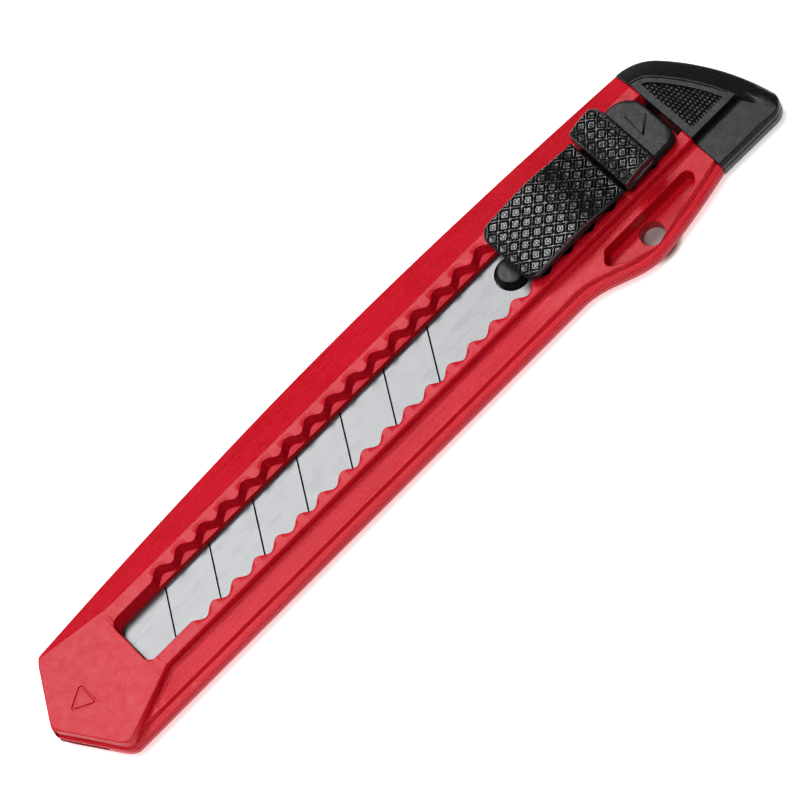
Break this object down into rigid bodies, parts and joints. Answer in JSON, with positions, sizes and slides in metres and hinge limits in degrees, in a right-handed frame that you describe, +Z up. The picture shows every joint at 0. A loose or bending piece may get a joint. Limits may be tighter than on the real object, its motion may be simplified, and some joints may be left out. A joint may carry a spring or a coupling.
{
  "type": "snap-off knife",
  "caption": "Utility knife with a scored snap-off blade that slides out of a flat plastic handle, a thumb slider with a press-down lock button and a pull-off end cap.",
  "frame": {"origin": "on the resting plane, under the middle of the knife's outline", "axes": "+X along the knife towards the end cap (nose at -X), +Y across towards the curved back edge (cutting edge at -Y), +Z up out of the window side"},
  "size_m": [0.159, 0.0318, 0.0134],
  "materials": {
    "handle_red_plastic": "satin moulded ABS with a fine grain on the nose face",
    "black_plastic": "satin moulded plastic",
    "blade_steel": "fine ground carbon steel",
    "spring_steel": "plain rolled strip"
  },
  "bodies": {
    "handle": {"handle_front_shell": "handle_red_plastic", "handle_back_shell": "handle_red_plastic"},
    "slider": {"blade_carrier": "black_plastic", "detent_spring": "spring_steel", "button_spring": "spring_steel", "blade_tang": "blade_steel", "blade_segment_1": "blade_steel", "blade_segment_2": "blade_steel", "blade_segment_3": "blade_steel", "blade_segment_4": "blade_steel", "blade_segment_5": "blade_steel", "blade_segment_6": "blade_steel", "blade_segment_7": "blade_steel"},
    "lock_button": {"thumb_button": "black_plastic"},
    "cap": {"end_cap": "black_plastic"}
  },
  "joints": [
    {"name": "blade_slide", "type": "slide", "parent": "handle", "child": "slider", "axis": [-1, 0, 0], "range_m": [0, 0.085], "deforming": ["detent_spring"]},
    {"name": "button_press", "type": "slide", "parent": "slider", "child": "lock_button", "axis": [0, 0, -1], "range_m": [0, 0.001], "stiffness_N_per_m": 800, "springref_m": -0.0005, "deforming": ["button_spring"]},
    {"name": "cap_pull", "type": "slide", "parent": "handle", "child": "cap", "axis": [1, 0, 0], "range_m": [0, 0.012]}
  ]
}
